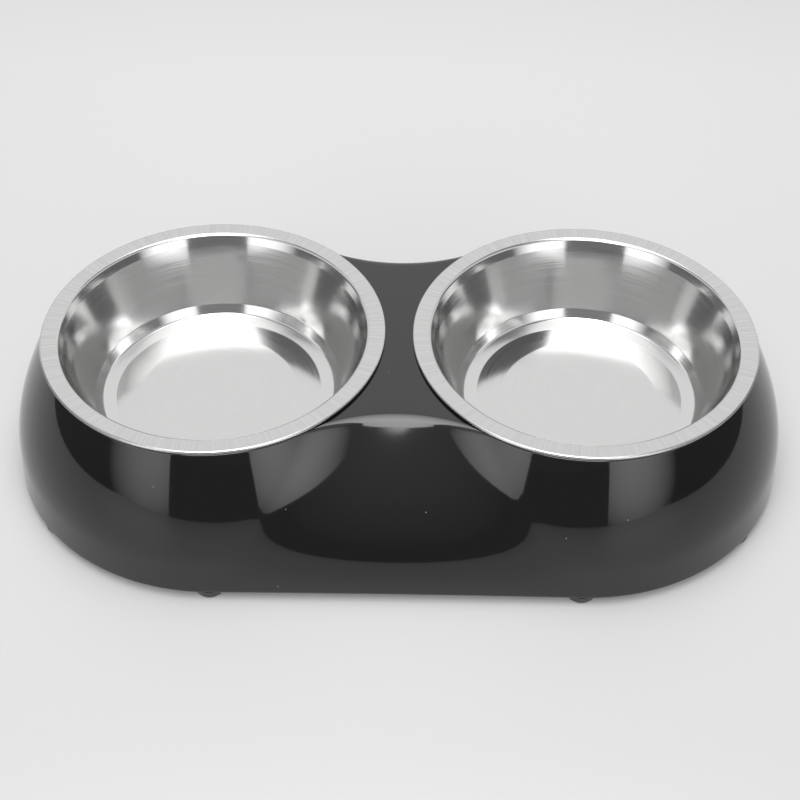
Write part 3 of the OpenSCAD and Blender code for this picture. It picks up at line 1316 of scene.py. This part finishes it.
@dataclass
class RubberFeet:
    """The eight rubber feet: tapered buttons, each with a stem that plugs into a boss.

    Attributes:
        nodes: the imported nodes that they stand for.
        height: height of a button below the stand.
        taper: how far a button tapers in on each side.
        edge_radius: radius of its lower edge.
        stem_diameter: diameter of its stem.
        stem_tip: height and width of the stem's bevelled tip.
        facets: facets round a foot.
        bend_steps: facets of its lower edge.
        sharp_angle: edges that turn more than this stay sharp.
    """

    nodes: tuple[str, ...] = (
        "front_left_foot", "front_right_foot", "rear_left_foot", "rear_right_foot",
        "left_end_front_foot", "left_end_rear_foot", "right_end_front_foot", "right_end_rear_foot")
    height: float = 4.4 * MM
    taper: float = 0.6 * MM
    edge_radius: float = 2.2 * MM
    stem_diameter: float = 4 * MM
    stem_tip: float = 0.5 * MM
    facets: int = 64
    bend_steps: int = 8
    sharp_angle: float = 40.0

    def model(self, node: str) -> bpy.types.Object:
        """Models one foot where its node stands.

        Args:
            node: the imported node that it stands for.

        Returns:
            The foot, undressed.
        """
        low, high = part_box(node)
        x, y = (low.x + high.x) / 2, (low.y + high.y) / 2
        radius = (high.x - low.x) / 2
        deselect_everything()
        bpy.ops.mesh.primitive_cylinder_add(vertices=self.facets, radius=radius, depth=self.height,
                                            location=(x, y, self.height / 2))
        foot = new_piece(f"{node}_rubber")
        seat_in_mesh(foot)
        select_where(foot, lambda p: p.z < self.height / 2)
        with editing(foot):
            resize_level((radius - self.taper) / radius, (x, y, 0))
            round_over(self.edge_radius, QUARTER_TURN - math.atan2(self.taper, self.height),
                       self.bend_steps)
        select_where(foot, lambda p: p.z > self.height - MERGE_DISTANCE, Element.FACES)
        with editing(foot):
            bpy.ops.mesh.inset(thickness=radius - self.stem_diameter / 2, depth=0)
            extrude_upwards(high.z - self.height - self.stem_tip)
            extrude_upwards(self.stem_tip)
            resize_level(1 - 2 * self.stem_tip / self.stem_diameter, (x, y, high.z))
        close_and_point_outwards(foot)
        shade_smooth(foot, self.sharp_angle)
        return foot

    def copy(self, foot: bpy.types.Object, start: str, node: str) -> bpy.types.Object:
        """Copies the finished foot, with a mesh of its own, to another place.

        Args:
            foot: the foot that was modelled.
            start: the node where it stands.
            node: the node where the copy goes.

        Returns:
            The copy.
        """
        pick(foot)
        bpy.ops.object.duplicate(linked=False)
        copy = new_piece(f"{node}_rubber")
        with editing(copy):
            bpy.ops.mesh.select_all(action="SELECT")
            bpy.ops.transform.translate(value=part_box(node)[0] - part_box(start)[0])
        return copy

    def build(self, finish: Finish) -> list[bpy.types.Object]:
        """Models the first foot, copies it to the other places and dresses them all.

        Args:
            finish: their finish.

        Returns:
            The finished feet.
        """
        first = self.nodes[0]
        feet = [self.model(first)]
        feet += [self.copy(feet[0], first, node) for node in self.nodes[1:]]
        for foot, node in zip(feet, self.nodes):
            dress(foot, finish, STAND_BODY)
            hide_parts(node)
        return feet


@dataclass(frozen=True)
class Table:
    """The white table top.

    Attributes:
        reach: how far it reaches to each side and to the front.
        back_edge: how far it reaches to the back.
        white: how light its white is in front of the object and behind it; the darker white in front
            is painted shade.
        painted_shade_span: places along Y between which the painted shade in front turns into the
            lighter white behind.
        painted_edge_shade: painted shade, what is left of the white at the front edge, outside the
            picture.
        painted_edge_span: places along Y between which the painted shade darkens the white towards
            that edge.
        glow: what the white lacks under the lamps.
        roughness: roughness of the table.
    """

    reach: float = 0.39
    back_edge: float = 0.75
    # Painted shade: the table's white is darker in front of the object than behind it.
    white: Pair = (0.58, 0.8)
    painted_shade_span: Pair = (-0.15, 0.3)
    painted_edge_shade: float = 0.6
    painted_edge_span: Pair = (-0.38, -0.18)
    glow: float = 0.06
    roughness: float = 0.4

    def lay(self) -> None:
        """Adds the table top."""
        table = add_plane("table_top", (0, (self.back_edge - self.reach) / 2, 0),
                          (2 * self.reach, self.back_edge + self.reach))
        bench = Bench.for_material("white_table_with_painted_shade")
        depth = bench.parts(bench.place())[1]
        # Painted shade: the white is darker in front of the object and towards the front edge, where
        # the stand and the bowls reflect the table.
        white = bench.math("MULTIPLY", bench.scaled(depth, self.painted_shade_span, self.white),
                           bench.scaled(depth, self.painted_edge_span, (self.painted_edge_shade, 1)))
        colour = bench.add("CombineColor", {0: white, 1: white, 2: white}).outputs[0]
        board = bench.add("BsdfPrincipled", {"Base Color": colour, "Roughness": self.roughness})
        glow = bench.glow(bench.math("MULTIPLY", bench.shown(), self.glow))
        both = bench.add("AddShader", {0: board.outputs[0], 1: glow.outputs[0]})
        table.data.materials.append(bench.finish(both))


@dataclass(frozen=True)
class Softbox:
    """A soft lamp with a hot middle that fades towards its edges.

    Attributes:
        name: its name.
        place: where its middle hangs.
        aim: the point that it faces.
        size: its width and height.
        brightness: how bright its hottest place is, where 1 shows as white.
        hot: where that place is, from -1 to 1 across and upwards.
        fade: how fast the light fades from there, across and upwards.
    """

    name: str
    place: Triple
    aim: Triple
    size: Pair
    brightness: float
    hot: Pair
    fade: Pair

    def hang(self) -> None:
        """Adds the lamp, unseen by the camera."""
        data = bpy.data.lights.new(self.name, "AREA")
        data.shape = "RECTANGLE"
        data.size, data.size_y = self.size
        data.energy = self.brightness * math.pi * self.size[0] * self.size[1]
        bench = Bench(data)
        ways = bench.parts(bench.add("NewGeometry").outputs["Parametric"])
        share = 1.0
        for way, hot, fade in zip(ways, self.hot, self.fade):
            off = bench.math("MULTIPLY_ADD", way, 2.0, -1.0 - hot)
            share = bench.math("MULTIPLY_ADD", bench.math("MULTIPLY", off, off), -fade, share)
        bench.finish(bench.glow(bench.math("MAXIMUM", share, 0.0)), Output.LAMP)
        lamp = bpy.data.objects.new(self.name, data)
        bpy.context.scene.collection.objects.link(lamp)
        lamp.location = self.place
        towards = Vector(self.aim) - Vector(self.place)
        lamp.rotation_euler = towards.to_track_quat("-Z", "Y").to_euler()
        lamp.visible_camera = False


@dataclass(frozen=True)
class Screen:
    """A dim grey screen, unseen by the camera, that keeps the white surround out of a reflection.

    Attributes:
        name: its name.
        place: its middle.
        size: its width and height, or its width and depth if it hangs level.
        shades: how light it shows at its foot and at its top.
        azimuth: the way that it faces, in degrees from the front.
        level: whether it hangs level beside the top lamp, and throws no shadow.
    """

    name: str
    place: Triple
    size: Pair
    shades: Pair
    azimuth: float = 0.0
    level: bool = False

    def hang(self) -> None:
        """Adds the screen."""
        tilt = 0 if self.level else QUARTER_TURN
        screen = add_plane(self.name, self.place, self.size, (tilt, 0, math.radians(self.azimuth)))
        bench = Bench.for_material(self.name)
        height = bench.parts(bench.place())[2]
        middle, half = self.place[2], self.size[1] / 2
        shade = bench.scaled(height, (middle - half, middle + half), self.shades)
        screen.data.materials.append(bench.finish(bench.glow(shade)))
        screen.visible_camera = False
        screen.visible_shadow = not self.level


@dataclass(frozen=True)
class Studio:
    """The white table, the soft lamps, the dim screens between them and the white surround.

    Attributes:
        table: the table.
        fill: strength of the surround as a light.
        lamps: the soft lamps.
        screens: the dim screens.
    """

    table: Table = Table()
    fill: float = 0.2
    lamps: tuple[Softbox, ...] = (
        Softbox("top_softbox", place=(-0.03, -0.34, 1.12), aim=(-0.03, -0.34, 0), size=(0.76, 1.68),
                brightness=5.5, hot=(0, -0.7), fade=(0.15, 0.3)),
        Softbox("left_softbox", place=(-0.62, -0.66, 0.31), aim=(0, 0, 0.31), size=(0.58, 0.9),
                brightness=2.0, hot=(0.37, 0), fade=(0.5, 0.9)),
        Softbox("right_softbox", place=(0.53, -0.73, 0.31), aim=(0, 0, 0.31), size=(0.60, 0.9),
                brightness=2.2, hot=(-0.28, 0), fade=(0.55, 0.9)),
        Softbox("back_softbox", place=(0, 1.0, 0.95), aim=(0, 0, 0.03), size=(1.9, 1.1),
                brightness=0.22, hot=(0, 0), fade=(0.1, 0.1)))
    screens: tuple[Screen, ...] = (
        Screen("front_screen_low", (0, -1.5, -0.05), (3.2, 0.7), (0.2, 0.2)),
        Screen("front_screen", (0, -1.5, 1.0), (3.2, 1.4), (0.22, 0.58)),
        Screen("left_screen", (-1.4, -0.35, 0.2), (2.3, 1.2), (0.12, 0.3), azimuth=90),
        Screen("left_card", (-0.62, 0.3, 1.12), (0.4, 0.7), (0.3, 0.3), level=True),
        Screen("right_card", (0.56, 0.15, 1.12), (0.4, 1.0), (0.25, 0.25), level=True),
        Screen("right_screen", (1.4, -0.35, 0.2), (2.3, 1.2), (0.12, 0.25), azimuth=90))

    def surround(self) -> None:
        """Sets a surround that shows as white, and lights the object as a dimmer one."""
        world = bpy.data.worlds.new("surround")
        bpy.context.scene.world = world
        bench = Bench(world)
        strength = bench.scaled(bench.shown(), (0, 1), (self.fill, 1))
        light = bench.add("Background", {"Color": WHITE, "Strength": strength})
        bench.finish(light, Output.WORLD)

    def build(self) -> None:
        """Sets up the table, the surround, the lamps and the screens."""
        self.table.lay()
        self.surround()
        for thing in (*self.lamps, *self.screens):
            thing.hang()


@dataclass(frozen=True)
class StudioCamera:
    """The camera at the photograph's viewing angle.

    Attributes:
        place: where it stands.
        yaw: turn about the upright.
        elevation: how far it looks down.
        roll: turn about its own axis.
        lens: focal length, in millimetres.
        sensor: width of the sensor, in millimetres.
        near: nearest distance that it sees.
    """

    place: Triple = (0.00569, -0.49928, 0.50812)
    yaw: float = -0.592
    elevation: float = 43.835
    roll: float = 0.407
    lens: float = 73.79
    sensor: float = 36
    near: float = 0.01

    def build(self) -> None:
        """Adds the camera and makes it the scene's own."""
        data = bpy.data.cameras.new("camera")
        data.lens = self.lens
        data.sensor_width = self.sensor
        data.clip_start = self.near
        camera = bpy.data.objects.new("camera", data)
        bpy.context.scene.collection.objects.link(camera)
        upright = Matrix.Rotation(math.radians(-self.yaw), 4, "Z")
        tilt = Matrix.Rotation(math.radians(90 - self.elevation), 4, "X")
        camera.matrix_world = (Matrix.Translation(self.place) @ upright @ tilt
                               @ Matrix.Rotation(math.radians(self.roll), 4, "Z"))
        bpy.context.scene.camera = camera


def report(pieces: Iterable[bpy.types.Object]) -> None:
    """Logs each finished piece with its number of faces.

    Args:
        pieces: the pieces.
    """
    for piece in pieces:
        log.info("%s built, %d faces", piece.name, len(piece.data.polygons))


def main() -> None:
    """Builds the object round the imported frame, then the studio and the camera."""
    logging.basicConfig(level=logging.INFO, format="%(name)s: %(message)s")
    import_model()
    bpy.context.scene.view_settings.view_transform = "Standard"
    report([StandShell().build(GlossMelamine())])
    for side in Side:
        bowl = SteelBowl(side)
        report([bowl.build(SpunSteel(bowl.centre_x, bowl.high.z, bowl.neck_radius))])
    report(RubberFeet().build(FootRubber()))
    Studio().build()
    StudioCamera().build()


if __name__ == "__main__":
    main()
